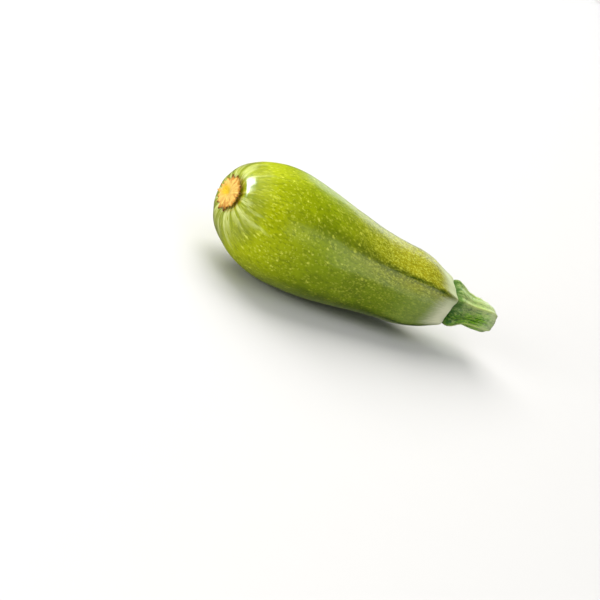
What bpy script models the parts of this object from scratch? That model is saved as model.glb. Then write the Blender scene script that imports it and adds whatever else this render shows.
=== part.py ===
"""A pale green zucchini, as picked, lying on its belly.

Three pieces: the fruit, the ribbed stem cut off above it, and the corky scar that the flower left.
Each is a turned profile whose rings are then shaped by formulas: five ribs that grow towards the
stem, a starry collar, ragged teeth round the scar, and one slow bend of the whole length.
Units are metres. The pieces are modelled upright, blossom end at the bottom, and laid down by
one empty. X runs towards the stem, Z is up, and the surface that it lies on is Z = 0.
"""

import math
import random

import bpy
from mathutils import Matrix, Vector

MM = 0.001

# Profiles, in millimetres, from the lowest point up: height above the blossom end, and radius.
# A smooth curve follows each list, so the surface lies slightly inside the points where it bends.
FRUIT_PROFILE = (
    (1.5, 0), (1.5, 3.5), (1.4, 6.0), (0.3, 8.2), (0.4, 11.4), (4.0, 16.6), (12, 22.2), (26, 26.9),
    (45, 26.5), (65, 24.1), (85, 20.9), (101, 19.3), (112, 19.1), (122, 17.0), (129.5, 13.4),
    (134, 12.0), (135.4, 10.8), (134.8, 9.2), (134.4, 6), (134.4, 0),
)
STEM_PROFILE = (
    (135.0, 0), (135.0, 5), (135.15, 8.6), (135.7, 9.8), (138.4, 10.9), (143, 10.2), (147.2, 8.1),
    (151, 7.3), (157, 7.5), (162, 7.5), (165.2, 6.9), (166.6, 5.2), (166.3, 3), (166.0, 0),
)
SCAR_PROFILE = (
    (-1.0, 0), (-1.2, 1.3), (-1.7, 2.4), (-1.6, 4.2), (-1.6, 6.7), (-1.0, 7.5), (-0.5, 7.3),
    (-0.3, 6.4), (0.1, 5.6), (0.7, 5.2), (1.1, 4.6), (1.1, 3.0), (1.1, 0),
)

# How finely each piece is turned: points on each stretch of the profile, and steps round it.
FRUIT_SPANS, FRUIT_STEPS = 2, 70
STEM_SPANS, STEM_STEPS = 2, 60
SCAR_SPANS = 1
SCAR_STEPS_PER_TOOTH = 6

# Five ribs run the whole length; one of them lies this far round from the belly. A rib's height
# is a share of the radius, and the crest's second and third waves make it sharp.
RIB_COUNT = 5
RIB_TURN = math.radians(15)
CREST_SECOND, CREST_THIRD = 0.35, 0.10
BODY_RIB, NECK_RIB, COLLAR_RIB = 0.012, 0.035, 0.030
BLOSSOM_RIB = 0.006
STEM_RIB, STEM_FOOT_RIB, STEM_HALF_RIB, STEM_EDGE = 0.045, 0.05, 0.05, 0.02
STEM_CUT_EASE = 0.5
RIB_UNEVEN, RIB_UNEVEN_TURN = 0.15, 2.0
ROUND_UNEVEN, ROUND_UNEVEN_TURN = 0.006, 1.1

# Where, up the upright fruit, each of these forms starts and where it is full.
NECK_RIB_FROM, NECK_RIB_FULL = 45 * MM, 115 * MM
COLLAR_RIB_FROM, COLLAR_RIB_FULL = 122 * MM, 133 * MM
FURROW_FULL, FURROW_END = 14 * MM, 60 * MM
RISE_FROM, RISE_FULL = 126 * MM, 134 * MM
CUT_EASE_FROM, CUT_EASE_FULL = 150 * MM, 166 * MM

# The join of fruit and stem, pushed up and down by the ribs, and how far the stem's foot spreads.
COLLAR_WAVE = 0.5 * MM
COLLAR_RADIUS = 10.8 * MM
COLLAR_REACH = 1.1
COLLAR_HEIGHT = 135 * MM
FOOT_LENGTH = 11 * MM

# The whole length bends like a bow, ends up, with the deepest point at this height.
BEND_DEPTH = 5.3 * MM
BEND_HEIGHT, BEND_REACH = 76 * MM, 83 * MM
BEND_TURN = math.radians(336)

# The stem droops a little from the bow, and its ribs wind round it.
DROOP_DEPTH = 2.6 * MM
DROOP_HEIGHT, DROOP_REACH = 138 * MM, 28 * MM
DROOP_TURN = math.radians(300)
STEM_TWIST = math.radians(16)
TWIST_FROM, TWIST_FULL = 139 * MM, 165 * MM

# The flower's scar: it sits off the middle, leans the same way, and has a ragged rim. The teeth
# stand unevenly, because each turn round the scar drifts by two slow waves.
SCAR_SHIFT = 2.2 * MM
SCAR_LEAN = math.tan(math.radians(5))
SCAR_TURN = math.radians(246)
SHIFT_FULL_RADIUS, SHIFT_END_RADIUS = 8.9 * MM, 19 * MM
BLOSSOM_HEIGHT = 30 * MM
TOOTH_COUNT = 17
TOOTH_LENGTH = 2.5 * MM
TOOTH_LEAST, TOOTH_MOST = 0.45, 1.25
TOOTH_INNER_RADIUS, TOOTH_OUTER_RADIUS = 5.6 * MM, 7.2 * MM
TOOTH_ROOT = 0.45
TOOTH_SINK = 0.12
TOOTH_DRIFT = ((2, 0.10, 0.6), (5, 0.035, 2.1))
TOOTH_SEED = 4

# Lying down: the stem end is this much lower, and the belly is pressed flat by this depth.
LYING_TILT = math.radians(4)
BELLY_PRESS = 0.6 * MM
FLOOR_BLOCK = (0.4, 0.2, 0.02)

COLLECTION_NAME = "zucchini"


def clear_scene():
    """Empties the file of objects."""
    for obj in list(bpy.data.objects):
        bpy.data.objects.remove(obj, do_unlink=True)


def new_collection(name):
    """Adds a collection to the scene and returns it."""
    collection = bpy.data.collections.new(name)
    bpy.context.scene.collection.children.link(collection)
    return collection


def principled(name, color, roughness):
    """Returns a material with one colour and roughness."""
    material = bpy.data.materials.new(name)
    material.use_nodes = True
    shader = material.node_tree.nodes["Principled BSDF"]
    shader.inputs["Base Color"].default_value = (*color, 1.0)
    shader.inputs["Roughness"].default_value = roughness
    shader.inputs["Metallic"].default_value = 0.0
    return material


def smooth_step(low, high, value):
    """Rises from 0 at low to 1 at high with soft ends."""
    share = min(max((value - low) / (high - low), 0.0), 1.0)
    return share * share * (3 - 2 * share)


def smooth_profile(points, spans):
    """Returns metres along a cubic B-spline that starts and ends at the first and last point."""
    knots = [Vector(point) * MM for point in points]
    knots = [2 * knots[0] - knots[1], *knots, 2 * knots[-1] - knots[-2]]
    curve = []
    for first in range(len(knots) - 3):
        for step in range(spans):
            t = step / spans
            weights = ((1 - t) ** 3, 3 * t**3 - 6 * t**2 + 4, -3 * t**3 + 3 * t**2 + 3 * t + 1, t**3)
            curve.append(sum((w * knots[first + i] for i, w in enumerate(weights)), Vector((0, 0))) / 6)
    curve.append(knots[-2])
    return curve


def turned(name, points, spans, steps, collection):
    """Turns a profile once round Z and returns the closed mesh object."""
    outline = list(reversed(smooth_profile(points, spans)))
    mesh = bpy.data.meshes.new(name + "_profile")
    corners = [(max(radius, 0.0), 0.0, height) for height, radius in outline]
    mesh.from_pydata(corners, [(i, i + 1) for i in range(len(corners) - 1)], [])
    profile = bpy.data.objects.new(name + "_profile", mesh)
    collection.objects.link(profile)
    screw = profile.modifiers.new("Turn", "SCREW")
    screw.axis = "Z"
    screw.steps = steps
    screw.render_steps = steps
    screw.use_merge_vertices = True
    screw.merge_threshold = 0.00001
    depsgraph = bpy.context.evaluated_depsgraph_get()
    solid = bpy.data.meshes.new_from_object(profile.evaluated_get(depsgraph))
    solid.name = name
    bpy.data.objects.remove(profile, do_unlink=True)
    obj = bpy.data.objects.new(name, solid)
    collection.objects.link(obj)
    return obj


def rib_crest(turn):
    """1 on the sharp crest of a rib and about -0.5 between two ribs."""
    wave = RIB_COUNT * turn
    crest = math.cos(wave) + CREST_SECOND * math.cos(2 * wave) + CREST_THIRD * math.cos(3 * wave)
    return crest / (1 + CREST_SECOND + CREST_THIRD)


def uneven(turn):
    """Makes the ribs a little unlike each other."""
    return 1 + RIB_UNEVEN * math.cos(turn + RIB_UNEVEN_TURN)


def collar_rise(radius, turn):
    """How far the join of fruit and stem is pushed up under a rib, more at the rim."""
    return COLLAR_WAVE * rib_crest(turn) * min(radius / COLLAR_RADIUS, COLLAR_REACH) ** 2


def fruit_form(height, radius, turn):
    """Gives the fruit its ribs, flat facets at the neck, and the starry edge of the collar."""
    strength = BODY_RIB + NECK_RIB * smooth_step(NECK_RIB_FROM, NECK_RIB_FULL, height)
    strength += COLLAR_RIB * smooth_step(COLLAR_RIB_FROM, COLLAR_RIB_FULL, height)
    furrows = BLOSSOM_RIB * (1 - smooth_step(FURROW_FULL, FURROW_END, height))
    swell = strength * uneven(turn) * rib_crest(turn) + furrows * math.cos(2 * RIB_COUNT * turn)
    swing = math.sin(math.pi * height / COLLAR_HEIGHT)
    swell += ROUND_UNEVEN * swing * math.cos(2 * turn + ROUND_UNEVEN_TURN)
    rise = collar_rise(radius, turn) * smooth_step(RISE_FROM, RISE_FULL, height)
    return height + rise, radius * (1 + swell), turn


def stem_form(height, radius, turn):
    """Gives the stem five winding ribs, a low broad one between each two, and its spread foot."""
    foot = 1 - smooth_step(COLLAR_HEIGHT, COLLAR_HEIGHT + FOOT_LENGTH, height)
    wave = RIB_COUNT * turn
    ribs = (STEM_RIB + STEM_FOOT_RIB * foot) * uneven(turn) * math.cos(wave)
    ribs += STEM_HALF_RIB * math.cos(2 * wave) + STEM_EDGE * math.cos(3 * wave)
    ribs *= 1 - STEM_CUT_EASE * smooth_step(CUT_EASE_FROM, CUT_EASE_FULL, height)
    twist = STEM_TWIST * smooth_step(TWIST_FROM, TWIST_FULL, height)
    return height + collar_rise(radius, turn) * foot, radius * (1 + ribs), turn - twist


def scar_form_for(teeth):
    """Returns the form of the scar, whose rim has one ragged tooth for each given length."""
    def form(height, radius, turn):
        place = turn / math.tau * len(teeth)
        number = int(round(place)) % len(teeth)
        point = 1 - 2 * abs(place - round(place))
        reach = smooth_step(TOOTH_INNER_RADIUS, TOOTH_OUTER_RADIUS, radius)
        length = TOOTH_LENGTH * teeth[number] * (point - TOOTH_ROOT) * reach
        drift = sum(size * math.sin(waves * turn + start) for waves, size, start in TOOTH_DRIFT)
        return height - TOOTH_SINK * length, radius + length, turn + drift
    return form


def flat_direction(turn):
    """Returns the unit vector across the length at an angle from the belly."""
    return Vector((math.cos(turn), math.sin(turn), 0.0))


def bent(height):
    """Returns how far the middle of the length is bent aside at a height."""
    bow = BEND_DEPTH * (1 - ((height - BEND_HEIGHT) / BEND_REACH) ** 2)
    droop = DROOP_DEPTH * max((height - DROOP_HEIGHT) / DROOP_REACH, 0.0) ** 2
    return flat_direction(BEND_TURN) * bow + flat_direction(DROOP_TURN) * droop


def shape_turned(obj, form):
    """Moves each vertex of a turned piece by a rule, turns it to its ribs, and bends the length."""
    for vertex in obj.data.vertices:
        turn = math.atan2(vertex.co.y, vertex.co.x) % math.tau
        height, radius, turn = form(vertex.co.z, math.hypot(vertex.co.x, vertex.co.y), turn)
        place = flat_direction(turn + RIB_TURN) * radius
        if height < BLOSSOM_HEIGHT:
            near = 1 - smooth_step(SHIFT_FULL_RADIUS, SHIFT_END_RADIUS, radius)
            aside = flat_direction(SCAR_TURN)
            height += near * SCAR_LEAN * place.dot(aside)
            place += near * SCAR_SHIFT * aside
        vertex.co = place + bent(height) + Vector((0, 0, height))
    obj.data.update()


def finish_piece(obj, material, lying):
    """Gives a piece its material and smooth shading, and hangs it under the empty."""
    obj.data.materials.clear()
    obj.data.materials.append(material)
    obj.data.shade_smooth()
    obj.data.set_sharp_from_angle(angle=math.radians(40))
    obj.parent = lying


def add_fruit(collection, lying):
    """Builds the fruit."""
    fruit = turned("fruit", FRUIT_PROFILE, FRUIT_SPANS, FRUIT_STEPS, collection)
    shape_turned(fruit, fruit_form)
    finish_piece(fruit, principled("skin_green", (0.33, 0.42, 0.02), 0.38), lying)
    return fruit


def add_stem(collection, lying):
    """Builds the cut stem."""
    stem = turned("stem", STEM_PROFILE, STEM_SPANS, STEM_STEPS, collection)
    shape_turned(stem, stem_form)
    finish_piece(stem, principled("stem_green", (0.06, 0.16, 0.012), 0.55), lying)
    return stem


def add_scar(collection, lying):
    """Builds the scar of the flower."""
    draw = random.Random(TOOTH_SEED)
    teeth = [draw.uniform(TOOTH_LEAST, TOOTH_MOST) for _ in range(TOOTH_COUNT)]
    steps = TOOTH_COUNT * SCAR_STEPS_PER_TOOTH
    scar = turned("blossom_scar", SCAR_PROFILE, SCAR_SPANS, steps, collection)
    shape_turned(scar, scar_form_for(teeth))
    finish_piece(scar, principled("dry_tan", (0.62, 0.36, 0.11), 0.75), lying)
    return scar


def world_box(objects):
    """Returns the lowest and highest corner of some objects in the world."""
    bpy.context.view_layer.update()
    points = [obj.matrix_world @ vertex.co for obj in objects for vertex in obj.data.vertices]
    low = Vector([min(point[axis] for point in points) for axis in range(3)])
    high = Vector([max(point[axis] for point in points) for axis in range(3)])
    return low, high


def lay_down(lying, pieces):
    """Turns the upright pieces onto their belly, centred over the origin."""
    lying.matrix_world = Matrix.Rotation(math.radians(90) + LYING_TILT, 4, "Y")
    low, high = world_box(pieces)
    middle = (low + high) / 2
    lying.location = (-middle.x, -middle.y, -low.z - BELLY_PRESS)
    bpy.context.view_layer.update()


def press_flat(piece, cutters):
    """Cuts the piece flat where it rests, at Z = 0."""
    bpy.ops.mesh.primitive_cube_add(size=1, location=(0, 0, -FLOOR_BLOCK[2] / 2))
    block = bpy.context.object
    block.name = "floor_block"
    block.scale = FLOOR_BLOCK
    block.display_type = "WIRE"
    block.hide_render = True
    for collection in list(block.users_collection):
        collection.objects.unlink(block)
    cutters.objects.link(block)
    cut = piece.modifiers.new("Belly", "BOOLEAN")
    cut.operation = "DIFFERENCE"
    cut.solver = "EXACT"
    cut.object = block


def main():
    """Builds the zucchini."""
    clear_scene()
    collection = new_collection(COLLECTION_NAME)
    cutters = new_collection("cutters")
    lying = bpy.data.objects.new("lying", None)
    collection.objects.link(lying)
    fruit = add_fruit(collection, lying)
    stem = add_stem(collection, lying)
    scar = add_scar(collection, lying)
    lay_down(lying, (fruit, stem, scar))
    press_flat(fruit, cutters)


main()
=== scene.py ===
"""Dresses the zucchini: its speckled waxy skin, the ribbed stem with its cut face, and the corky scar.

Lengths in the growth formulas and the finishes are millimetres, and everything placed in the scene
is metres. Height runs along the fruit from the blossom end to the stem's cut, turn goes round it
from the rib nearest the belly, and arc is the way along the skin from the middle of an end.
"""

from __future__ import annotations

import logging
import math
import random
from abc import ABC, abstractmethod
from dataclasses import dataclass, field
from enum import Enum
from typing import Any

import bpy
import numpy as np
from mathutils import Matrix, Vector, noise

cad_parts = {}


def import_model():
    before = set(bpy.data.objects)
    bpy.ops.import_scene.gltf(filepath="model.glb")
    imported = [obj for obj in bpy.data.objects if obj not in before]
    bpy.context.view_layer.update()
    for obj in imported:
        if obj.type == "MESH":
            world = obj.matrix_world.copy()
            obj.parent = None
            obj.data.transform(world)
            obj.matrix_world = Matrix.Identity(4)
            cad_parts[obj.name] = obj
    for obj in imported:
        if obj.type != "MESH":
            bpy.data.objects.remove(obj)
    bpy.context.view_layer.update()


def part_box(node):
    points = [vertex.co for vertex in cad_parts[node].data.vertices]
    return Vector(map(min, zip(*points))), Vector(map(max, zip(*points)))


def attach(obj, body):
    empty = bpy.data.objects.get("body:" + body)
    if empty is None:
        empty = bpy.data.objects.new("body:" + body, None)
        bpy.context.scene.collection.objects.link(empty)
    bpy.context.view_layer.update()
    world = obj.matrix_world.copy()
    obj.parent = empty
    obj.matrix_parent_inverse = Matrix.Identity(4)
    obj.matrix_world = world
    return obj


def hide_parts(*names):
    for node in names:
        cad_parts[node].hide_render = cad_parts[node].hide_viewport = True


LOG = logging.getLogger("zucchini")
MM = 0.001

Points = tuple[tuple[float, float], ...]
Color = tuple[float, float, float]
Reach = tuple[float, float]
Grown = tuple[np.ndarray, np.ndarray, np.ndarray]


def deg(angle: float) -> float:
    """Returns degrees as radians."""
    return math.radians(angle)


def smooth_step(low: float, high: float, value: np.ndarray) -> np.ndarray:
    """Rises from 0 at low to 1 at high with soft ends."""
    share = np.clip((value - low) / (high - low), 0.0, 1.0)
    return share * share * (3 - 2 * share)


def bump_at(value: np.ndarray, middle: float, width: float) -> np.ndarray:
    """Returns a bell of height 1 at middle, that wide on each side."""
    return np.exp(-(((value - middle) / width) ** 2))


def flat_direction(turn: float) -> np.ndarray:
    """Returns the unit vector across the length at an angle from the belly."""
    return np.array([math.cos(turn), math.sin(turn)])


def bearing(azimuth: float, elevation: float) -> Vector:
    """Returns the unit vector toward a place round the fruit.

    Args:
        azimuth: Degrees round the upright axis, 0 in front of the fruit.
        elevation: Degrees above the surface.

    Returns:
        The vector.
    """
    flat = math.cos(deg(elevation))
    return Vector((math.sin(deg(azimuth)) * flat, -math.cos(deg(azimuth)) * flat, math.sin(deg(elevation))))


def color(red: int, green: int, blue: int) -> Color:
    """Turns a screen colour into the linear one that a shader takes, by the standard curve.

    Args:
        red: From 0 to 255.
        green: From 0 to 255.
        blue: From 0 to 255.

    Returns:
        The three linear parts, from 0 to 1.
    """
    parts = [channel / 255 for channel in (red, green, blue)]
    linear = [c / 12.92 if c <= 0.04045 else ((c + 0.055) / 1.055) ** 2.4 for c in parts]
    return linear[0], linear[1], linear[2]


@dataclass(frozen=True)
class Lumps:
    """A smooth random relief: how high, how wide, which draw, and how fast it changes lengthwise."""

    height: float
    size: float
    seed: float
    along: float = 1.0

    def at(self, places: np.ndarray) -> np.ndarray:
        """Returns the relief.

        Args:
            places: One row of three numbers for each vertex, the last one lengthwise.

        Returns:
            One number for each vertex, from about minus the height to the height.
        """
        shift = Vector((self.seed, self.seed, self.seed))
        rows = places * np.array([1, 1, self.along])
        return self.height * np.array([noise.noise(Vector(row / self.size) + shift) for row in rows])


@dataclass
class Rings:
    """Where each vertex of a turned piece lies on the upright profile, in millimetres."""

    height: np.ndarray
    radius: np.ndarray
    turn: np.ndarray
    arc: np.ndarray

    def around(self, size: float) -> np.ndarray:
        """Returns places on a tube of one radius, as long as the skin, for patterns with no seam.

        Args:
            size: Radius of the tube.

        Returns:
            One row of three numbers for each vertex.
        """
        return np.stack([size * np.cos(self.turn), size * np.sin(self.turn), self.arc], axis=1)


@dataclass(frozen=True)
class Growth:
    """The form that fruit, stem and scar share: five ribs, a bend, an off-centre scar, a tilt."""

    rib_count: int = 5
    rib_turn: float = deg(15)
    rib_uneven: float = 0.15
    rib_uneven_turn: float = 2.0
    crest_second: float = 0.35
    crest_third: float = 0.1
    collar_height: float = 135.0
    collar_radius: float = 10.8
    collar_wave: float = 0.5
    collar_reach: float = 1.1
    bend_depth: float = 5.3
    bend_height: float = 76.0
    bend_reach: float = 83.0
    bend_turn: float = deg(336)
    droop_depth: float = 2.6
    droop_height: float = 138.0
    droop_reach: float = 28.0
    droop_turn: float = deg(300)
    scar_shift: float = 2.2
    scar_lean: float = math.tan(deg(5))
    scar_turn: float = deg(246)
    shift_full_radius: float = 8.9
    shift_end_radius: float = 19.0
    blossom_height: float = 30.0
    tilt: float = deg(4)

    def crest(self, turn: np.ndarray) -> np.ndarray:
        """Returns how far a rib stands out.

        Args:
            turn: Angle of each vertex.

        Returns:
            1 on the sharp crest of a rib and about -0.5 between two ribs.
        """
        wave = self.rib_count * turn
        crest = np.cos(wave) + self.crest_second * np.cos(2 * wave) + self.crest_third * np.cos(3 * wave)
        return crest / (1 + self.crest_second + self.crest_third)

    def off_crest(self, turn: np.ndarray) -> np.ndarray:
        """Returns the angle from the nearest crest."""
        return np.arccos(np.clip(np.cos(self.rib_count * turn), -1, 1)) / self.rib_count

    def uneven(self, turn: np.ndarray) -> np.ndarray:
        """Returns how strong each rib is against the others."""
        return 1 + self.rib_uneven * np.cos(turn + self.rib_uneven_turn)

    def collar_rise(self, radius: np.ndarray, turn: np.ndarray) -> np.ndarray:
        """Returns how far the join of fruit and stem is pushed up under each rib."""
        reach = np.minimum(radius / self.collar_radius, self.collar_reach)
        return self.collar_wave * self.crest(turn) * reach**2

    def place(self, height: np.ndarray, radius: np.ndarray, turn: np.ndarray) -> np.ndarray:
        """Bends the upright form and lays it down, before it is moved over the origin.

        Args:
            height: Height of each vertex.
            radius: Radius of each vertex.
            turn: Angle of each vertex from the rib nearest the belly.

        Returns:
            One row of world coordinates, in millimetres, for each vertex.
        """
        angle = turn + self.rib_turn
        spot = np.stack([np.cos(angle), np.sin(angle)], axis=1) * radius[:, None]
        near = 1 - smooth_step(self.shift_full_radius, self.shift_end_radius, radius)
        near = near * (height < self.blossom_height)
        aside = flat_direction(self.scar_turn)
        height = height + near * self.scar_lean * (spot @ aside)
        spot = spot + np.outer(near * self.scar_shift, aside)
        bow = self.bend_depth * (1 - ((height - self.bend_height) / self.bend_reach) ** 2)
        droop = self.droop_depth * np.maximum((height - self.droop_height) / self.droop_reach, 0) ** 2
        spot = spot + np.outer(bow, flat_direction(self.bend_turn))
        spot = spot + np.outer(droop, flat_direction(self.droop_turn))
        upright = np.column_stack([spot, height])
        turned = Matrix.Rotation(deg(90) + self.tilt, 3, "Y")
        return upright @ np.array(turned).T


GROWTH = Growth()


class Graph:
    """The nodes of one material."""

    def __init__(self, name: str) -> None:
        """Starts an empty material.

        Args:
            name: The material's name.
        """
        self.material = bpy.data.materials.new(name)
        self.material.use_nodes = True
        self.tree = self.material.node_tree
        self.tree.nodes.clear()

    def node(self, kind: str, settings: dict[str, Any], values: dict[str | int, Any]) -> bpy.types.Node:
        """Adds a node.

        Args:
            kind: The node's type.
            settings: Its properties, set first.
            values: What each input socket, by name or number, is set to or linked from.

        Returns:
            The new node.
        """
        made = self.tree.nodes.new(kind)
        for key, setting in settings.items():
            setattr(made, key, setting)
        for key, value in values.items():
            if isinstance(value, Signal):
                self.tree.links.new(value.socket, made.inputs[key])
            elif isinstance(value, tuple) and len(value) == 3 and made.inputs[key].type == "RGBA":
                made.inputs[key].default_value = (*value, 1.0)
            else:
                made.inputs[key].default_value = value
        return made

    def signal(self, node: bpy.types.Node, output: str | int = 0) -> "Signal":
        """Wraps one output of a node."""
        return Signal(self, node.outputs[output])

    def attribute(self, name: "Axis") -> "Signal":
        """Reads a vector that the mesh stores at each vertex."""
        found = self.node("ShaderNodeAttribute", {"attribute_name": name.value}, {})
        return self.signal(found, "Vector")

    def object_place(self) -> "Signal":
        """Reads the place in metres."""
        return self.signal(self.node("ShaderNodeTexCoord", {}, {}), "Object")

    def parts(self, vector: "Signal") -> tuple["Signal", "Signal", "Signal"]:
        """Splits a vector into its three numbers."""
        split = self.node("ShaderNodeSeparateXYZ", {}, {0: vector})
        return self.signal(split, 0), self.signal(split, 1), self.signal(split, 2)

    def vector(self, x: Any, y: Any, z: Any) -> "Signal":
        """Joins three numbers into a vector."""
        return self.signal(self.node("ShaderNodeCombineXYZ", {}, {0: x, 1: y, 2: z}))

    def noise(self, place: "Signal", scale: float, detail: float = 2.0, rough: float = 0.5) -> "Signal":
        """Returns smooth noise at a place.

        Args:
            place: Where the noise is read.
            scale: Lumps for each unit of length.
            detail: How many finer layers it has.
            rough: How strong these are.

        Returns:
            The noise, from 0 to 1.
        """
        values = {"Vector": place, "Scale": scale, "Detail": detail, "Roughness": rough}
        return self.signal(self.node("ShaderNodeTexNoise", {}, values), "Fac")

    def cells(self, place: "Signal", scale: float) -> tuple["Signal", "Signal"]:
        """Scatters one point in each cell of a grid.

        Args:
            place: Where the pattern is read.
            scale: Cells for each unit of length.

        Returns:
            The distance to the nearest point, in cells, and that point's own random number.
        """
        found = self.node("ShaderNodeTexVoronoi", {}, {"Vector": place, "Scale": scale, "Randomness": 1.0})
        return self.signal(found, "Distance"), self.parts(self.signal(found, "Color"))[0]

    def mix(self, share: Any, low: Any, high: Any) -> "Signal":
        """Blends two colours.

        Args:
            share: 0 for the first colour, 1 for the second.
            low: The first colour.
            high: The second colour.

        Returns:
            The blend.
        """
        settings = {"data_type": "RGBA", "clamp_factor": True}
        made = self.node("ShaderNodeMix", settings, {0: share, 6: low, 7: high})
        return self.signal(made, 2)

    def bump(self, height: "Signal", depth: float) -> "Signal":
        """Turns a height from 0 to 1 into a normal.

        Args:
            height: The relief.
            depth: How deep it is, in metres.

        Returns:
            The normal.
        """
        made = self.node("ShaderNodeBump", {}, {"Height": height, "Distance": depth, "Strength": 1.0})
        return self.signal(made)

    def finish(self, settings: dict[str, Any]) -> bpy.types.Material:
        """Closes the material with one Principled shader.

        Args:
            settings: What each of the shader's sockets is set to or linked from.

        Returns:
            The material.
        """
        shader = self.node("ShaderNodeBsdfPrincipled", {}, settings)
        self.node("ShaderNodeOutputMaterial", {}, {"Surface": self.signal(shader)})
        return self.material


@dataclass(frozen=True)
class Signal:
    """One output socket; arithmetic on it adds Math nodes."""

    graph: Graph
    socket: bpy.types.NodeSocket

    def math(self, operation: str, first: Any, second: Any = 0.0) -> "Signal":
        """Adds a Math node and returns its result."""
        made = self.graph.node("ShaderNodeMath", {"operation": operation}, {0: first, 1: second})
        return Signal(self.graph, made.outputs[0])

    def __add__(self, other: Any) -> "Signal":
        """Adds."""
        return self.math("ADD", self, other)

    __radd__ = __add__

    def __sub__(self, other: Any) -> "Signal":
        """Subtracts."""
        return self.math("SUBTRACT", self, other)

    def __rsub__(self, other: Any) -> "Signal":
        """Subtracts from."""
        return self.math("SUBTRACT", other, self)

    def __mul__(self, other: Any) -> "Signal":
        """Multiplies."""
        return self.math("MULTIPLY", self, other)

    __rmul__ = __mul__

    def __truediv__(self, other: Any) -> "Signal":
        """Divides."""
        return self.math("DIVIDE", self, other)

    def __rtruediv__(self, other: Any) -> "Signal":
        """Divides into."""
        return self.math("DIVIDE", other, self)

    def cos(self) -> "Signal":
        """Returns the cosine."""
        return self.math("COSINE", self)

    def arccos(self) -> "Signal":
        """Returns the angle that has this cosine."""
        return self.math("ARCCOSINE", self)

    def angle_to(self, across: "Signal") -> "Signal":
        """Returns the angle of a point whose x is across and whose y is this."""
        return self.math("ARCTAN2", self, across)

    def frayed(self, waver: "Signal", most: float) -> "Signal":
        """Returns this, moved up and down by noise from 0 to 1."""
        return self + (waver - 0.5) * most

    def at_least(self, other: Any) -> "Signal":
        """Returns the larger of the two."""
        return self.math("MAXIMUM", self, other)

    def rise(self, low: Any, high: Any) -> "Signal":
        """Returns 0 at low and 1 at high with soft ends.

        Args:
            low: Where the result is 0.
            high: Where the result is 1; it may be smaller than low.

        Returns:
            The result, from 0 to 1.
        """
        values = {"Value": self, "From Min": low, "From Max": high}
        made = self.graph.node("ShaderNodeMapRange", {"interpolation_type": "SMOOTHSTEP"}, values)
        return Signal(self.graph, made.outputs[0])


class Axis(Enum):
    """Names of the values that a mesh stores for its material."""

    PLACE = "skin_place"
    FORM = "skin_form"


@dataclass(frozen=True)
class Surface:
    """What the mesh of a turned piece tells its material."""

    graph: Graph
    place: Signal
    x: Signal
    y: Signal
    arc: Signal
    height: Signal
    radius: Signal
    swell: Signal

    @classmethod
    def read(cls, graph: Graph) -> "Surface":
        """Reads the place for patterns, and the height, radius and swell."""
        place = graph.attribute(Axis.PLACE)
        return cls(graph, place, *graph.parts(place), *graph.parts(graph.attribute(Axis.FORM)))

    def turn(self) -> Signal:
        """Returns the angle from the rib nearest the belly."""
        return self.y.angle_to(self.x)

    def off_crest(self, turn: Signal) -> Signal:
        """Returns the distance from the nearest rib's crest."""
        return (turn * GROWTH.rib_count).cos().arccos() / GROWTH.rib_count * self.radius

    def grain(self, scale: float, along: float, detail: float = 2.0, rough: float = 0.5) -> Signal:
        """Returns noise that is drawn out along the fruit.

        Args:
            scale: Lumps for each millimetre across the fruit.
            along: The same along the fruit, as a share of the scale.
            detail: How many finer layers it has.
            rough: How strong these are.

        Returns:
            The noise, from 0 to 1.
        """
        return self.graph.noise(self.graph.vector(self.x, self.y, self.arc * along), scale, detail, rough)


@dataclass(frozen=True)
class Dots:
    """Scattered round dots: cells for each millimetre, how they grow, how many are missing, the edge."""

    cells: float
    growth: float
    missing: float
    edge: Reach
    least: float = 0.02

    def over(self, place: Signal) -> Signal:
        """Scatters the dots, one in each cell, each of its own size.

        Args:
            place: Where the pattern is read.

        Returns:
            1 in a dot and 0 between the dots.
        """
        far, pick = place.graph.cells(place, self.cells)
        return (far / (pick * self.growth - self.missing).at_least(self.least)).rise(*self.edge)


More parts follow.
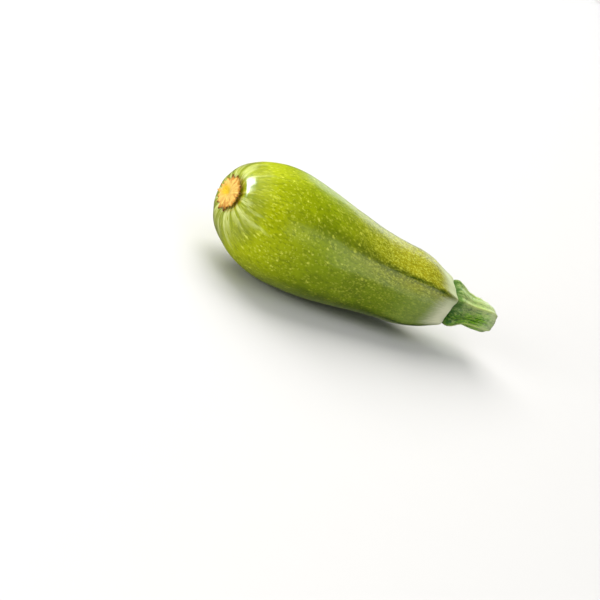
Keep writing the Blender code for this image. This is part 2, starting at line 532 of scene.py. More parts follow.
@dataclass(frozen=True)
class SkinFinish:
    """Waxy yellow-green skin: mottled, speckled, streaked at the blossom end, pale at the collar, with
    painted shade on the underside and a painted sheen and painted light on the neck's lower side.
    """

    name: str = "waxy_skin"
    bulb: Color = color(158, 168, 2)
    middle: Color = color(136, 157, 0)
    neck: Color = color(156, 152, 18)
    underside: Color = color(112, 137, 4)
    shade: Color = color(72, 92, 0)
    rib_line: Color = color(54, 76, 0)
    speckle: Color = color(206, 212, 74)
    streak: Color = color(214, 222, 134)
    furrow: Color = color(112, 136, 0)
    collar: Color = color(206, 216, 170)
    collar_low_painted_light: Color = color(246, 248, 212)
    painted_sheen: Color = color(146, 166, 92)
    gloss_tint: Color = (0.8, 1.0, 0.3)
    roughness: float = 0.36
    relief_depth: float = 0.0002
    big_dots: Dots = Dots(0.44, 0.47, 0.15, (1.25, 0.35))
    small_dots: Dots = Dots(0.95, 0.66, 0.06, (1.2, 0.4))
    grain_dots: Dots = Dots(1.15, 0.75, 0.0, (1.2, 0.4))
    line_width: float = 7.5
    line_thinning: float = 5.0
    line_end: Reach = (134.2, 131.0)
    streaks: float = 14.0
    streak_reach: Reach = (26.0, 8.0)
    streak_fray: float = 44.0
    painted_sheen_reach: Reach = (92.0, 128.0)
    collar_edge: float = 114.6
    collar_point: float = 9.0
    wax_least: float = 0.065
    wax_reach: Reach = (28.0, 18.0)
    wax_roughness: float = 0.2
    wax_mirror: float = 2.4

    def build(self) -> bpy.types.Material:
        """Builds the material.

        Returns:
            The skin.
        """
        g = Graph(self.name)
        at = Surface.read(g)
        turn = at.turn().frayed(g.noise(at.place, 0.05), 0.12)
        off = at.off_crest(turn)
        sunny = turn.cos().rise(-0.35, -0.9)
        mottle = at.grain(0.8, 0.45, 3.0, 0.6)
        fine = at.grain(1.3, 0.12)
        line = self._rib_lines(at, off)
        dots = self._speckles(at, sunny)

        base = g.mix(line, self._ground(at, sunny, mottle), self.rib_line)
        base = g.mix(dots * (1.0 - line * 0.7) * 0.95, base, self.speckle)
        base = self._streak(at, turn, sunny, base)
        # Painted sheen: a grey-green veil on the neck's lower side stands in for a reflection.
        painted_sheen_mask = (at.height + fine * 12.0).rise(*self.painted_sheen_reach) * (1.0 - sunny) * (1.0 - line)
        base = g.mix(painted_sheen_mask * 0.55, base, self.painted_sheen)
        # The pale collar is the skin's own colour; its brighter tone and wider, softer fade on the
        # underside are painted light.
        edge = self.collar_edge + sunny * 3.0 + fine * 8.0 + (off / 2.6).rise(1.0, 0.0) * self.collar_point
        pale = (at.height - edge).rise(-4.0, 12.0 - sunny * 4.0)
        base = g.mix(pale * 0.94, base, g.mix(sunny, self.collar_low_painted_light, self.collar))

        relief = dots * 0.3 + g.noise(at.place, 1.6) * 0.25 + at.grain(0.5, 0.6) * 0.6 + fine * pale * 0.6
        rough = self.roughness + (mottle - 0.5) * 0.16 + pale * 0.2
        wax = self.wax_least + at.arc.rise(*self.wax_reach) * (1.0 - self.wax_least)
        return g.finish({
            "Base Color": base, "Roughness": rough, "Normal": g.bump(relief, self.relief_depth),
            "Specular IOR Level": 0.2, "Specular Tint": (*self.gloss_tint, 1.0),
            "Coat Weight": wax, "Coat Roughness": self.wax_roughness, "Coat IOR": self.wax_mirror,
        })

    def _ground(self, at: Surface, sunny: Signal, mottle: Signal) -> Signal:
        """Returns the skin's colour below all signs: yellower at the bulb, with painted shade on the
        underside.

        Args:
            at: The skin's surface.
            sunny: 1 on the upper side, 0 on the underside.
            mottle: Noise for the small dark mottles.

        Returns:
            The colour.
        """
        g = at.graph
        base = g.mix(at.height.rise(4.0, 52.0), self.bulb, self.middle)
        # Painted shade: toward the neck the underside takes a darker, greener copy of the neck's colour.
        base = g.mix(at.height.rise(30.0, 110.0), base, g.mix(sunny, self.underside, self.neck))
        base = g.mix(g.noise(at.place, 0.07).rise(0.42, 0.72) * 0.3, base, self.shade)
        return g.mix(mottle.rise(0.46, 0.68) * 0.42, base, self.shade)

    def _rib_lines(self, at: Surface, off: Signal) -> Signal:
        """Returns the dark line on each rib: wide and faint at the middle, thin and deep at the neck.

        Args:
            at: The skin's surface.
            off: Distance from the nearest crest.

        Returns:
            How much of the line's colour shows.
        """
        width = self.line_width - at.height.rise(40.0, 118.0) * self.line_thinning
        line = (off / width).rise(1.0, 0.0) * at.height.rise(16.0, 52.0) * at.height.rise(*self.line_end)
        whole = 0.6 + at.grain(0.5, 0.3).rise(0.3, 0.62) * 0.4
        return line * whole * (0.5 + at.height.rise(50.0, 105.0) * 0.5)

    def _streak(self, at: Surface, turn: Signal, sunny: Signal, base: Signal) -> Signal:
        """Adds the pale streaks that fan out from the scar, with darker furrows between them.

        Args:
            at: The skin's surface.
            turn: Wavering angle from the rib nearest the belly.
            sunny: 1 on the upper side, where the streaks are thinner.
            base: The colour below them.

        Returns:
            The colour with the streaks.
        """
        reach = at.arc.frayed(at.grain(0.16, 0.0, 1.0), self.streak_fray).rise(*self.streak_reach)
        fan = (turn * self.streaks).frayed(at.grain(0.11, 0.25), 11.0).cos()
        base = at.graph.mix(fan.rise(0.0, -0.9) * reach * (0.3 + sunny * 0.2), base, self.furrow)
        shown = reach * at.grain(0.42, 0.35).rise(0.34, 0.54) * (0.9 - sunny * 0.35)
        return at.graph.mix(fan.rise(-0.75 + sunny * 0.85, 0.7 + sunny * 0.25) * shown, base, self.streak)

    def _speckles(self, at: Surface, sunny: Signal) -> Signal:
        """Returns the pale dots: drawn out at the blossom end, small and dense toward the stem.

        Args:
            at: The skin's surface.
            sunny: 1 on the upper side, where the grain is strong.

        Returns:
            How much of the speckle's colour shows.
        """
        g = at.graph
        warp = (g.noise(at.place, 0.9) - 0.5) * 1.5
        x, y = at.x + warp, at.y - warp
        drawn = g.vector(x, y, (at.arc + warp) * (0.52 - at.height.rise(40.0, 6.0) * 0.24))
        big = self.big_dots.over(drawn)
        small = self.small_dots.over(drawn) * (0.45 + at.height.rise(40.0, 95.0) * 0.3)
        grain = self.grain_dots.over(g.vector(x, y, at.arc * 0.75))
        grain = grain * at.height.rise(40.0, 90.0) * (0.3 + sunny * 0.4)
        shaded = 1.0 - at.height.rise(62.0, 98.0) * (1.0 - sunny) * 0.5
        return big.at_least(small).at_least(grain) * shaded * at.height.rise(133.5, 126.0)


@dataclass(frozen=True)
class StemFinish:
    """Fibrous dark green rind with pale rib edges and pale mottles, painted shade in the grooves and at the
    foot, and a painted sheen on the upper side and toward the cut.
    """

    name: str = "stem_rind"
    deep: Color = color(42, 94, 0)
    fresh: Color = color(140, 198, 10)
    mottle: Color = color(172, 192, 96)
    rib_edge: Color = color(192, 208, 116)
    end: Color = color(196, 208, 158)
    roughness: float = 0.42
    relief_depth: float = 0.0005
    foot_painted_shade_reach: Reach = (144.0, 136.0)
    end_reach: Reach = (154.0, 167.0)

    def build(self) -> bpy.types.Material:
        """Builds the material.

        Returns:
            The rind.
        """
        g = Graph(self.name)
        at = Surface.read(g)
        turn = at.turn()
        off = at.off_crest(turn)
        fibres = at.grain(1.6, 0.12, 3.0, 0.6)
        blots = at.grain(0.8, 0.7, 3.0, 0.66)
        sunny = turn.cos().rise(-0.2, -0.8)
        base = g.mix(fibres.rise(0.35, 0.65), self.deep, self.fresh)
        # Painted shade: the rind is darkened in the grooves between the ribs.
        base = g.mix(at.swell.rise(0.0, -0.09) * 0.7, base, self.deep)
        # The pale mottles are the rind's own; their extra strength on the upper side, and the pale end
        # colour laid there, are a painted sheen.
        spots = blots.rise(0.52 - sunny * 0.12, 0.64 - sunny * 0.1) * (0.55 + sunny * 0.15)
        base = g.mix(spots, base, self.mottle)
        base = g.mix(sunny * (0.2 + fibres * 0.3), base, self.end)
        base = g.mix(off.frayed(fibres, 1.2).rise(0.9, 0.25) * 0.7, base, self.rib_edge)
        # Painted shade: darker at the foot, where the stem meets the fruit's collar.
        base = g.mix(at.height.frayed(blots, 12.0).rise(*self.foot_painted_shade_reach) * 0.8, base, self.deep)
        # Painted sheen: the pale end colour toward the cut.
        base = g.mix(at.height.frayed(blots, 16.0).rise(*self.end_reach) * 0.75, base, self.end)
        return g.finish({
            "Base Color": base, "Roughness": self.roughness + (blots - 0.5) * 0.2,
            "Normal": g.bump(fibres * 0.7 + blots * 0.8, self.relief_depth),
            "Specular IOR Level": 0.25, "Coat Weight": 0.05, "Coat Roughness": 0.3,
        })


@dataclass(frozen=True)
class CutFinish:
    """The cut face of the stem: pale pith, a ring of bundles, a green rind at the edge."""

    name: str = "cut_pith"
    pith: Color = color(214, 214, 160)
    ring: Color = color(150, 170, 78)
    rind: Color = color(70, 110, 30)
    dry: Color = color(176, 160, 104)
    roughness: float = 0.7
    relief_depth: float = 0.0003
    ring_from: Reach = (4.2, 5.2)
    ring_to: Reach = (6.7, 5.8)
    rind_edge: Reach = (6.3, 7.1)

    def build(self) -> bpy.types.Material:
        """Builds the material.

        Returns:
            The cut face.
        """
        g = Graph(self.name)
        at = Surface.read(g)
        grain = g.noise(g.vector(at.x, at.y, at.radius), 1.4, 3.0)
        beads = (at.turn() * (2 * GROWTH.rib_count)).cos() * 0.5 + 0.5
        bundle = at.radius.rise(*self.ring_from) * at.radius.rise(*self.ring_to) * beads
        base = g.mix(grain.rise(0.4, 0.7) * 0.6, self.pith, self.dry)
        base = g.mix(bundle * 0.8, base, self.ring)
        base = g.mix(at.radius.rise(*self.rind_edge), base, self.rind)
        return g.finish({
            "Base Color": base, "Roughness": self.roughness + (grain - 0.5) * 0.2,
            "Normal": g.bump(grain + bundle * 0.5, self.relief_depth), "Subsurface Weight": 0.1,
        })


@dataclass(frozen=True)
class ScarFinish:
    """Dry cork: tan with radial fibres, brown tooth tips, and an ochre hollow in the middle."""

    name: str = "dry_cork"
    tan: Color = color(222, 184, 92)
    orange: Color = color(176, 104, 12)
    brown: Color = color(64, 36, 4)
    ochre: Color = color(212, 170, 4)
    roughness: float = 0.72
    relief_depth: float = 0.0003
    dimple: Reach = (3.8, 1.4)
    rim: Reach = (5.8, 7.4)
    tips: Reach = (7.0, 8.5)

    def build(self) -> bpy.types.Material:
        """Builds the material.

        Returns:
            The cork.
        """
        g = Graph(self.name)
        at = Surface.read(g)
        radius = at.radius
        # The scar's mesh stores the distance from its dimple where the others store the arc.
        off_dimple = at.arc
        fibres = g.noise(g.vector(at.x, at.y, radius * 0.22), 1.0, 3.0, 0.6)
        blots = g.noise(g.vector(at.x, at.y, radius), 0.35)
        base = g.mix(fibres.rise(0.38, 0.66) * 0.55, self.tan, self.orange)
        base = g.mix(radius.frayed(fibres, 2.0).rise(*self.rim) * 0.55, base, self.orange)
        base = g.mix(blots.rise(0.5, 0.62) * radius.rise(2.5, 5.0) * 0.6, base, self.orange)
        base = g.mix(off_dimple.frayed(blots, 2.0).rise(*self.dimple), base, self.ochre)
        out = (radius * (at.swell + 1.0)).frayed(blots, 4.0).frayed(fibres, 1.2)
        base = g.mix(out.rise(*self.tips) * 0.92, base, self.brown)
        return g.finish({
            "Base Color": base, "Roughness": self.roughness + (blots - 0.5) * 0.2,
            "Normal": g.bump(fibres, self.relief_depth), "Subsurface Weight": 0.1,
        })


@dataclass(frozen=True)
class HairFinish:
    """Pale glassy hairs, a little browner in places."""

    name: str = "stem_hair"
    pale: Color = color(206, 214, 158)
    brown: Color = color(150, 146, 84)
    relief_depth: float = 0.00002

    def build(self) -> bpy.types.Material:
        """Builds the material.

        Returns:
            The hairs' material.
        """
        g = Graph(self.name)
        tone = g.noise(g.object_place(), 400.0)
        base = g.mix(tone.rise(0.45, 0.65) * 0.7, self.pale, self.brown)
        return g.finish({
            "Base Color": base, "Roughness": 0.45 + tone * 0.2, "Specular IOR Level": 0.5,
            "Normal": g.bump(tone, self.relief_depth),
        })


@dataclass
class TurnedPiece(ABC):
    """A closed piece that is turned round the fruit's length and then shaped by its growth."""

    name: str
    node: str
    slot: str
    profile: Points
    spans: int
    steps: int
    sharp: float = deg(60)
    least_radius: float = 0.01
    weld: float = 0.001
    made: bpy.types.Object | None = field(default=None, init=False)

    @abstractmethod
    def relief(self, rings: Rings) -> Grown:
        """Lets the piece grow its ribs, lumps and edges.

        Args:
            rings: The plain turned piece.

        Returns:
            The height, radius and turn of each vertex.
        """

    @abstractmethod
    def finishes(self) -> list[bpy.types.Material]:
        """Returns the piece's materials."""

    def outline(self) -> np.ndarray:
        """Draws a cubic B-spline from the profile's first to its last point.

        Returns:
            Height and radius of each point.
        """
        knots = np.array(self.profile, dtype=float)
        knots = np.vstack([2 * knots[0] - knots[1], knots, 2 * knots[-1] - knots[-2]])
        curve = []
        for first in range(len(knots) - 3):
            for step in range(self.spans):
                t = step / self.spans
                weights = ((1 - t) ** 3, 3 * t**3 - 6 * t**2 + 4, -3 * t**3 + 3 * t**2 + 3 * t + 1, t**3)
                curve.append(np.array(weights) @ knots[first:first + 4] / 6)
        curve.append(knots[-2])
        line = np.array(curve)
        line[:, 1] = np.maximum(line[:, 1], 0.0)
        return line

    def turn_profile(self, line: np.ndarray) -> bpy.types.Object:
        """Draws the outline by extruding one vertex along it, and spins it into a closed mesh.

        Args:
            line: Height and radius of each point.

        Returns:
            The upright mesh object, in metres.
        """
        bpy.ops.object.select_all(action="DESELECT")
        bpy.ops.mesh.primitive_plane_add(size=MM)
        piece = bpy.context.object
        bpy.ops.object.mode_set(mode="EDIT")
        bpy.ops.mesh.select_all(action="SELECT")
        bpy.ops.mesh.merge(type="CENTER")
        bpy.ops.transform.translate(value=(line[0][1] * MM, 0.0, line[0][0] * MM))
        for step in np.diff(line, axis=0) * MM:
            bpy.ops.mesh.extrude_vertices_move(TRANSFORM_OT_translate={"value": (step[1], 0.0, step[0])})
        bpy.ops.mesh.select_all(action="SELECT")
        bpy.ops.mesh.spin(steps=self.steps, angle=math.tau, center=(0, 0, 0), axis=(0, 0, 1))
        bpy.ops.mesh.select_all(action="SELECT")
        bpy.ops.mesh.remove_doubles(threshold=self.weld * MM)
        bpy.ops.mesh.normals_make_consistent(inside=False)
        bpy.ops.object.mode_set(mode="OBJECT")
        piece.name = self.name
        piece.data.name = self.name
        return piece

    def read_rings(self, piece: bpy.types.Object, line: np.ndarray) -> Rings:
        """Finds where each vertex lies on the outline.

        Args:
            piece: The upright mesh object.
            line: Height and radius of each point of the outline.

        Returns:
            The vertices' heights, radii, turns and arcs.
        """
        flat = np.empty(len(piece.data.vertices) * 3)
        piece.data.vertices.foreach_get("co", flat)
        places = flat.reshape(-1, 3) / MM
        radius = np.hypot(places[:, 0], places[:, 1])
        along = np.concatenate([[0.0], np.cumsum(np.hypot(*np.diff(line, axis=0).T))])
        gaps = np.hypot(places[:, 2][:, None] - line[:, 0], radius[:, None] - line[:, 1])
        arc = along[np.argmin(gaps, axis=1)]
        return Rings(places[:, 2].copy(), radius, np.arctan2(places[:, 1], places[:, 0]), arc)

    def store(self, name: Axis, rows: np.ndarray) -> None:
        """Stores three numbers at each vertex for the material."""
        kept = self.made.data.attributes.new(name.value, "FLOAT_VECTOR", "POINT")
        kept.data.foreach_set("vector", rows.astype(np.float32).ravel())

    def stored(self, name: Axis) -> np.ndarray:
        """Reads back what store has kept.

        Args:
            name: Which of the values.

        Returns:
            One row of three numbers for each vertex.
        """
        flat = np.empty(len(self.made.data.vertices) * 3, dtype=np.float32)
        self.made.data.attributes[name.value].data.foreach_get("vector", flat)
        return flat.reshape(-1, 3)

    def build(self) -> np.ndarray:
        """Models the piece upright and lets it grow.

        Returns:
            Where each vertex goes, in millimetres, before the move over the origin.
        """
        line = self.outline()
        self.made = self.turn_profile(line)
        rings = self.read_rings(self.made, line)
        height, radius, turn = self.relief(rings)
        swell = radius / np.maximum(rings.radius, self.least_radius) - 1
        self.store(Axis.PLACE, self.pattern_place(rings))
        self.store(Axis.FORM, np.column_stack([rings.height, rings.radius, swell]))
        return GROWTH.place(height, radius, turn)

    def pattern_place(self, rings: Rings) -> np.ndarray:
        """Returns where the material reads its patterns."""
        return rings.around(max(radius for _, radius in self.profile))

    def settle(self, places: np.ndarray, move: np.ndarray) -> None:
        """Puts the vertices where the piece lies, and finishes its surface.

        Args:
            places: World coordinates in millimetres before the move.
            move: The move over the origin, in millimetres.
        """
        self.made.data.vertices.foreach_set("co", (self.rest(places + move) * MM).ravel())
        for material in self.finishes():
            self.made.data.materials.append(material)
        self.paint()
        bpy.ops.object.select_all(action="DESELECT")
        self.made.select_set(True)
        bpy.context.view_layer.objects.active = self.made
        bpy.ops.object.shade_smooth_by_angle(angle=self.sharp)
        self.made.data.update()
        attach(self.made, "root")
        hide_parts(self.node)
        LOG.info("%s: %d vertices", self.name, len(self.made.data.vertices))

    def rest(self, places: np.ndarray) -> np.ndarray:
        """Returns the places after the surface below has pressed on the piece."""
        return places

    def paint(self) -> None:
        """Gives faces a material other than the first, where the piece has one."""


@dataclass
class FruitSkin(TurnedPiece):
    """The whole fruit with its ribs, its furrowed blossom end and its starry collar."""

    body_rib: float = 0.012
    neck_rib: float = 0.035
    neck_rib_reach: Reach = (45, 115)
    collar_rib: float = 0.030
    collar_rib_reach: Reach = (122, 133)
    blossom_rib: float = 0.006
    furrow_reach: Reach = (14, 60)
    round_uneven: float = 0.006
    round_uneven_turn: float = 1.1
    rise_reach: Reach = (126, 134)
    bare_reach: Reach = (7.5, 10.5)
    crest_edge: float = 0.22
    crest_width: float = 1.1
    crest_reach: Reach = (60, 118)
    pattern_radius: float = 26.0
    swells: Lumps = Lumps(0.22, 15.0, 3.1)
    dents: Lumps = Lumps(0.08, 5.5, 8.7)
    lump_sink: float = 0.05
    fan_rays: int = 15
    fan_height: float = 0.03
    fan_sway: Lumps = Lumps(2.0, 9.0, 1.7)
    fan_reach: Reach = (2, 20)
    wrinkles: Lumps = Lumps(0.09, 1.1, 5.0, along=0.15)
    wrinkle_reach: Reach = (126, 133)
    press_soft: float = 0.15
    press_height: float = 3.0

    def relief(self, rings: Rings) -> Grown:
        """Lets the fruit grow its ribs, its starry collar, its lumps and the fan round the scar.

        Args:
            rings: The plain turned fruit.

        Returns:
            The height, radius and turn of each vertex.
        """
        height, radius, turn = rings.height, rings.radius, rings.turn
        strength = self.body_rib + self.neck_rib * smooth_step(*self.neck_rib_reach, height)
        strength = strength + self.collar_rib * smooth_step(*self.collar_rib_reach, height)
        furrows = self.blossom_rib * (1 - smooth_step(*self.furrow_reach, height))
        furrows = furrows * np.cos(2 * GROWTH.rib_count * turn)
        swing = np.sin(math.pi * height / GROWTH.collar_height)
        oval = self.round_uneven * swing * np.cos(2 * turn + self.round_uneven_turn)
        rise = GROWTH.collar_rise(radius, turn) * smooth_step(*self.rise_reach, height)
        grown = radius * (1 + strength * GROWTH.uneven(turn) * GROWTH.crest(turn) + furrows + oval)
        off = GROWTH.off_crest(turn) * radius
        edge = self.crest_edge * bump_at(off, 0, self.crest_width) * smooth_step(*self.crest_reach, height)
        places = rings.around(self.pattern_radius)
        lumps = self.swells.at(places) + self.dents.at(places) - self.lump_sink
        fan = self.fan_height * np.cos(self.fan_rays * turn + self.fan_sway.at(places))
        fan = fan * (1 - smooth_step(*self.fan_reach, height))
        wrinkles = self.wrinkles.at(places) * smooth_step(*self.wrinkle_reach, height)
        shown = smooth_step(*self.bare_reach, radius)
        return height + rise, grown + shown * (edge + lumps + fan + wrinkles), turn

    def finishes(self) -> list[bpy.types.Material]:
        """Returns the skin."""
        return [SkinFinish().build()]

    def rest(self, places: np.ndarray) -> np.ndarray:
        """Presses the belly flat.

        Args:
            places: World coordinates in millimetres.

        Returns:
            The same with nothing below the surface.
        """
        height = places[:, 2]
        pressed = (height + np.sqrt(height**2 + self.press_soft**2)) / 2
        return np.column_stack([places[:, :2], np.where(height < self.press_height, pressed, height)])


@dataclass
class StemRind(TurnedPiece):
    """The cut stem: sharp ribs, broad lobes between them, and a foot that spreads on the collar."""

    rib: float = 0.045
    foot_rib: float = 0.05
    foot_length: float = 11.0
    half_rib: float = 0.05
    edge: float = 0.02
    cut_ease: float = 0.5
    cut_ease_reach: Reach = (150, 166)
    twist: float = deg(16)
    twist_reach: Reach = (139, 165)
    side_reach: Reach = (4.0, 6.5)
    crest_edge: float = 0.28
    crest_width: float = 0.45
    pattern_radius: float = 7.5
    lumps: Lumps = Lumps(0.3, 3.4, 2.3)
    fibres: Lumps = Lumps(0.14, 1.3, 9.1, along=0.4)
    cut_height: float = 165.8
    cut_radius: float = 7.25

    def relief(self, rings: Rings) -> Grown:
        """Lets the stem grow its ribs and its foot, and twists it toward the cut.

        Args:
            rings: The plain turned stem.

        Returns:
            The height, radius and turn of each vertex.
        """
        height, radius, turn = rings.height, rings.radius, rings.turn
        foot = 1 - smooth_step(GROWTH.collar_height, GROWTH.collar_height + self.foot_length, height)
        wave = GROWTH.rib_count * turn
        ribs = (self.rib + self.foot_rib * foot) * GROWTH.uneven(turn) * np.cos(wave)
        ribs = ribs + self.half_rib * np.cos(2 * wave) + self.edge * np.cos(3 * wave)
        ribs = ribs * (1 - self.cut_ease * smooth_step(*self.cut_ease_reach, height))
        rise = GROWTH.collar_rise(radius, turn) * foot
        twist = self.twist * smooth_step(*self.twist_reach, height)
        crest = self.crest_edge * bump_at(GROWTH.off_crest(turn) * radius, 0, self.crest_width)
        places = rings.around(self.pattern_radius)
        rough = crest + self.lumps.at(places) + self.fibres.at(places)
        shown = smooth_step(*self.side_reach, radius)
        return height + rise, radius * (1 + ribs) + shown * rough, turn - twist

    def finishes(self) -> list[bpy.types.Material]:
        """Returns the rind and the cut face."""
        return [StemFinish().build(), CutFinish().build()]

    def paint(self) -> None:
        """Gives the cut face its pith."""
        form = self.stored(Axis.FORM)
        for face in self.made.data.polygons:
            height, radius, _ = form[list(face.vertices)].mean(axis=0)
            face.material_index = int(height > self.cut_height and radius < self.cut_radius)


@dataclass
class ScarCork(TurnedPiece):
    """The dry remains of the flower's base, with ragged teeth round a sunk middle."""

    teeth: int = 17
    tooth_length: float = 2.5
    tooth_least: float = 0.45
    tooth_most: float = 1.25
    tooth_inner: float = 5.6
    tooth_outer: float = 7.2
    tooth_root: float = 0.45
    tooth_sink: float = 0.12
    curl_in: float = -0.9
    curl_out: float = 0.2
    drift: tuple[tuple[int, float, float], ...] = ((2, 0.10, 0.6), (5, 0.035, 2.1))
    seed: int = 4
    front: float = 0.2
    pattern_radius: float = 7.0
    fibres: Lumps = Lumps(0.07, 0.9, 4.4, along=0.3)
    fibre_reach: Reach = (0.8, 2.5)
    lumps: Lumps = Lumps(0.2, 2.4, 6.1)
    dimple_turn: float = deg(65)
    dimple_aside: float = 2.6
    dimple_radius: float = 1.5
    dimple_depth: float = 0.45

    def relief(self, rings: Rings) -> Grown:
        """Draws out the teeth, and gives the front its fibres, lumps and dimple.

        Args:
            rings: The plain turned scar.

        Returns:
            The height, radius and turn of each vertex.
        """
        height, radius, turn = rings.height, rings.radius, rings.turn
        draw = random.Random(self.seed)
        lengths = np.array([draw.uniform(self.tooth_least, self.tooth_most) for _ in range(self.teeth)])
        curls = np.array([draw.uniform(self.curl_in, self.curl_out) for _ in range(self.teeth)])
        place = (turn % math.tau) / math.tau * self.teeth
        number = np.round(place).astype(int) % self.teeth
        point = 1 - 2 * np.abs(place - np.round(place))
        reach = smooth_step(self.tooth_inner, self.tooth_outer, radius)
        length = self.tooth_length * lengths[number] * (point - self.tooth_root) * reach
        fibres = self.fibres.at(self._on_circle(turn, radius)) * smooth_step(*self.fibre_reach, radius)
        hollow = self.dimple_depth * bump_at(self._off_dimple(radius, turn), 0, self.dimple_radius)
        lumps = self.lumps.at(self._flat(radius, turn))
        curl = curls[number] * reach * np.clip(point, 0, 1)
        face = (height < self.front) * (fibres + hollow + lumps)
        drift = sum(size * np.sin(waves * turn + start) for waves, size, start in self.drift)
        return height - self.tooth_sink * length + face + curl, radius + length, turn + drift

    def _on_circle(self, turn: np.ndarray, along: np.ndarray) -> np.ndarray:
        """Returns each vertex's place on a circle, for patterns with no seam, beside a third number."""
        circle = self.pattern_radius * np.array([np.cos(turn), np.sin(turn)])
        return np.column_stack([*circle, along])

    @staticmethod
    def _flat(radius: np.ndarray, turn: np.ndarray) -> np.ndarray:
        """Returns each vertex's place on the scar's face."""
        return np.column_stack([radius * np.cos(turn), radius * np.sin(turn), np.zeros_like(radius)])

    def _off_dimple(self, radius: np.ndarray, turn: np.ndarray) -> np.ndarray:
        """Returns each vertex's distance from the dimple that the pistil left."""
        middle = self.dimple_aside * flat_direction(self.dimple_turn)
        return np.hypot(*(self._flat(radius, turn)[:, :2] - middle).T)

    def pattern_place(self, rings: Rings) -> np.ndarray:
        """Returns the turn round the scar, as a place on a circle, and the distance from the dimple."""
        return self._on_circle(rings.turn, self._off_dimple(rings.radius, rings.turn))

    def finishes(self) -> list[bpy.types.Material]:
        """Returns the cork."""
        return [ScarFinish().build()]


@dataclass
class StemHairs:
    """Short stiff hairs on the stem's ribs, modelled once and copied."""

    name: str = "stem_hairs"
    count: int = 420
    sides: int = 3
    width: float = 0.055
    shortest: float = 0.5
    longest: float = 1.1
    sunk: float = 0.06
    lean: float = 0.5
    from_height: float = 138.0
    to_height: float = 163.5
    off_rib: float = 1.1
    seed: int = 12

    def build(self, stem: StemRind) -> None:
        """Puts the hairs on the stem.

        Args:
            stem: The finished stem.
        """
        pattern = self._model_hair()
        spots = self._spots(stem)
        draw = random.Random(self.seed)
        hairs = [self._copy_hair(pattern, draw.choice(spots), draw) for _ in range(self.count)]
        bpy.ops.object.select_all(action="DESELECT")
        for hair in hairs:
            hair.select_set(True)
        bpy.context.view_layer.objects.active = hairs[0]
        bpy.ops.object.join()
        bpy.ops.object.transform_apply(location=True, rotation=True, scale=True)
        joined = bpy.context.object
        joined.name = self.name
        joined.data.name = self.name
        joined.data.materials.append(HairFinish().build())
        bpy.data.objects.remove(pattern, do_unlink=True)
        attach(joined, "root")
        LOG.info("%s: %d hairs", self.name, self.count)

    def _model_hair(self) -> bpy.types.Object:
        """Models one tapered hair that stands on the origin.

        Returns:
            The hair, one millimetre long.
        """
        bpy.ops.object.select_all(action="DESELECT")
        bpy.ops.mesh.primitive_cone_add(
            vertices=self.sides, radius1=self.width * MM, radius2=0.0, depth=MM, location=(0, 0, MM / 2))
        hair = bpy.context.object
        bpy.ops.object.transform_apply(location=True, rotation=False, scale=False)
        return hair

    def _spots(self, stem: StemRind) -> list[bpy.types.MeshVertex]:
        """Finds where hairs grow: near a rib and between two heights.

        Args:
            stem: The finished stem.

        Returns:
            The stem's vertices there.
        """
        form, place = stem.stored(Axis.FORM), stem.stored(Axis.PLACE)
        off = GROWTH.off_crest(np.arctan2(place[:, 1], place[:, 0])) * form[:, 1]
        near = (form[:, 0] > self.from_height) & (form[:, 0] < self.to_height) & (off < self.off_rib)
        return [stem.made.data.vertices[int(spot)] for spot in np.nonzero(near)[0]]

    def _copy_hair(self, pattern: bpy.types.Object, spot: bpy.types.MeshVertex,
                   draw: random.Random) -> bpy.types.Object:
        """Copies the hair with its own mesh, and stands it on the stem, leaning at random.

        Args:
            pattern: The hair to copy.
            spot: The stem's vertex that it grows from.
            draw: Where the random numbers come from.

        Returns:
            The new hair.
        """
        hair = pattern.copy()
        hair.data = pattern.data.copy()
        lean = Vector([draw.uniform(-1, 1) for _ in range(3)]) * self.lean
        along = (spot.normal + lean).normalized()
        hair.rotation_euler = along.to_track_quat("Z", "Y").to_euler()
        hair.location = spot.co - spot.normal * self.sunk * MM
        hair.scale = (1, 1, draw.uniform(self.shortest, self.longest))
        bpy.context.scene.collection.objects.link(hair)
        return hair


@dataclass
class Zucchini:
    """The fruit, stem and scar, modelled together so that they share one place, and the hairs."""

    fruit: FruitSkin = field(default_factory=lambda: FruitSkin(
        name="fruit_skin", node="fruit", slot="skin", spans=7, steps=180,
        profile=(
            (1.5, 0), (1.5, 3.5), (1.4, 6.0), (0.3, 8.2), (0.4, 11.4), (4.0, 16.6), (12, 22.2), (26, 26.9),
            (45, 26.5), (65, 24.1), (85, 20.9), (101, 19.3), (112, 19.1), (122, 17.0), (129.5, 13.4),
            (134, 12.0), (135.4, 10.8), (134.8, 9.2), (134.4, 6), (134.4, 0),
        ),
    ))
    stem: StemRind = field(default_factory=lambda: StemRind(
        name="stem_rind", node="stem", slot="stem_rind", spans=6, steps=160,
        profile=(
            (135.0, 0), (135.0, 5), (135.15, 8.6), (135.7, 9.8), (138.4, 10.9), (143, 10.2), (147.2, 8.1),
            (151, 7.3), (157, 7.5), (162, 7.5), (165.2, 6.9), (166.6, 5.2), (166.3, 3), (166.0, 0),
        ),
    ))
    scar: ScarCork = field(default_factory=lambda: ScarCork(
        name="scar_cork", node="blossom_scar", slot="dry_scar", spans=4, steps=255,
        profile=(
            (-1.0, 0), (-1.2, 1.3), (-1.7, 2.4), (-1.6, 4.2), (-1.6, 6.7), (-1.0, 7.5), (-0.5, 7.3),
            (-0.3, 6.4), (0.1, 5.6), (0.7, 5.2), (1.1, 4.6), (1.1, 3.0), (1.1, 0),
        ),
    ))

    def build(self) -> None:
        """Models the pieces and moves them onto the frame's fruit."""
        low, high = (np.array(corner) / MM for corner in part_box("fruit"))
        pieces = (self.fruit, self.stem, self.scar)
        places = {piece.name: piece.build() for piece in pieces}
        body = places[self.fruit.name]
        near, far = body.min(axis=0), body.max(axis=0)
        move = (low + high) / 2 - (near + far) / 2
        move[2] = high[2] - far[2]
        for piece in pieces:
            piece.settle(places[piece.name], move)
        StemHairs().build(self.stem)


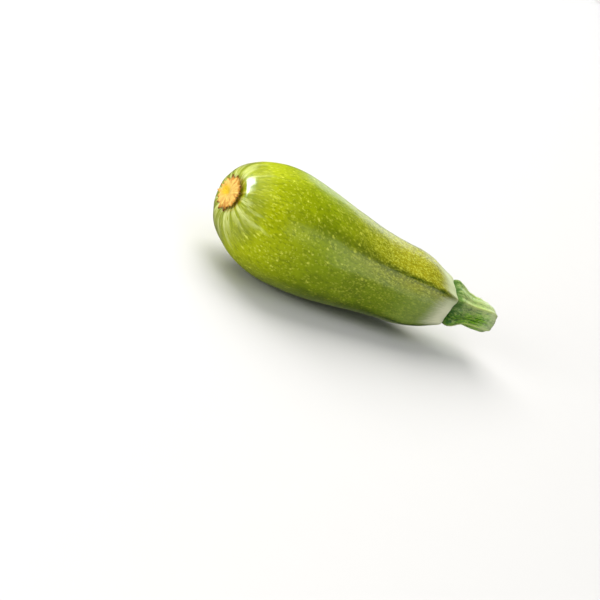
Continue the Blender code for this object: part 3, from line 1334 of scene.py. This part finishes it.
@dataclass(frozen=True)
class SoftLight:
    """One studio softbox, placed by its bearing from the fruit."""

    name: str
    azimuth: float
    elevation: float
    distance: float
    size: float
    power: float
    height: float = 0.0
    tint: Color = (1.0, 1.0, 1.0)
    lights_skin: bool = True
    mirrors: bool = True

    def add(self, target: Vector) -> None:
        """Adds the light.

        Args:
            target: The place that it faces.
        """
        toward = bearing(self.azimuth, self.elevation)
        data = bpy.data.lights.new(self.name, "AREA")
        data.shape = "RECTANGLE"
        data.size = self.size
        data.size_y = self.height or self.size
        data.energy = self.power
        data.color = self.tint
        lamp = bpy.data.objects.new(self.name, data)
        lamp.location = target + toward * self.distance
        lamp.rotation_euler = toward.to_track_quat("Z", "Y").to_euler()
        lamp.visible_diffuse = self.lights_skin
        lamp.visible_glossy = self.mirrors
        bpy.context.scene.collection.objects.link(lamp)


@dataclass(frozen=True)
class Studio:
    """A pale floor, soft light, and the camera at the photograph's viewing angle."""

    floor_size: float = 12.0
    floor_color: Color = (0.62, 0.62, 0.62)
    floor_grain: Color = (0.58, 0.58, 0.58)
    sky: Color = (1.0, 1.0, 1.0)
    sky_strength: float = 0.12
    lights: tuple[SoftLight, ...] = (
        SoftLight("window", -117, 25, 1.0, 0.36, 7.4, 0.9, tint=(0.78, 0.85, 1.0), lights_skin=False),
        SoftLight("side", 54, 10, 1.3, 0.6, 3.8, tint=(0.9, 0.96, 1.0), lights_skin=False),
        SoftLight("strip", 18, 17, 1.3, 0.85, 1.7, 0.22, tint=(0.9, 0.96, 1.0), lights_skin=False),
        SoftLight("top", -165, 52, 1.8, 2.0, 66.0, tint=(1.0, 0.98, 0.94), mirrors=False),
        SoftLight("left", -72, 12, 1.5, 0.7, 17.0, mirrors=False),
        SoftLight("front", -20, 65, 1.6, 1.4, 10.0, mirrors=False),
        SoftLight("back", 140, 7, 1.2, 0.4, 1.3, tint=(0.78, 0.84, 1.0), lights_skin=False),
    )
    light_target: tuple[float, float, float] = (0.0, 0.0, 0.03)
    distance: float = 0.83
    lens: float = 105.8
    aim: tuple[float, float, float] = (-0.02176, -0.00663, -0.00168)
    azimuth: float = -34.86
    elevation: float = 22.0
    roll: float = 34.93

    def build(self) -> None:
        """Builds the floor, the lights and the camera."""
        self._add_floor()
        self._add_sky()
        for light in self.lights:
            light.add(Vector(self.light_target))
        self._add_camera()
        bpy.context.scene.view_settings.view_transform = "Standard"

    def _add_floor(self) -> None:
        """Adds the floor."""
        bpy.ops.object.select_all(action="DESELECT")
        bpy.ops.mesh.primitive_plane_add(size=self.floor_size)
        floor = bpy.context.object
        floor.name = "floor"
        g = Graph("pale_floor")
        tone = g.mix(g.noise(g.object_place(), 40.0) * 0.15, self.floor_color, self.floor_grain)
        pale = g.finish({"Base Color": tone, "Roughness": 0.8, "Specular IOR Level": 0.2})
        floor.data.materials.append(pale)
        floor.visible_glossy = False

    def _add_sky(self) -> None:
        """Adds the even white surroundings."""
        world = bpy.data.worlds.new("white_room")
        world.use_nodes = True
        back = world.node_tree.nodes["Background"]
        back.inputs["Color"].default_value = (*self.sky, 1.0)
        back.inputs["Strength"].default_value = self.sky_strength
        bpy.context.scene.world = world

    def _add_camera(self) -> None:
        """Adds the camera, turned about its own axis as the photograph is."""
        back = bearing(self.azimuth, self.elevation)
        data = bpy.data.cameras.new("photo_camera")
        data.lens = self.lens
        camera = bpy.data.objects.new("photo_camera", data)
        turned = back.to_track_quat("Z", "Y").to_matrix().to_4x4() @ Matrix.Rotation(deg(self.roll), 4, "Z")
        camera.matrix_world = Matrix.Translation(Vector(self.aim) + back * self.distance) @ turned
        bpy.context.scene.collection.objects.link(camera)
        bpy.context.scene.camera = camera


def main() -> None:
    """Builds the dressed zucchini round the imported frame."""
    logging.basicConfig(level=logging.INFO, format="%(message)s")
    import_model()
    Zucchini().build()
    Studio().build()


if __name__ == "__main__":
    main()
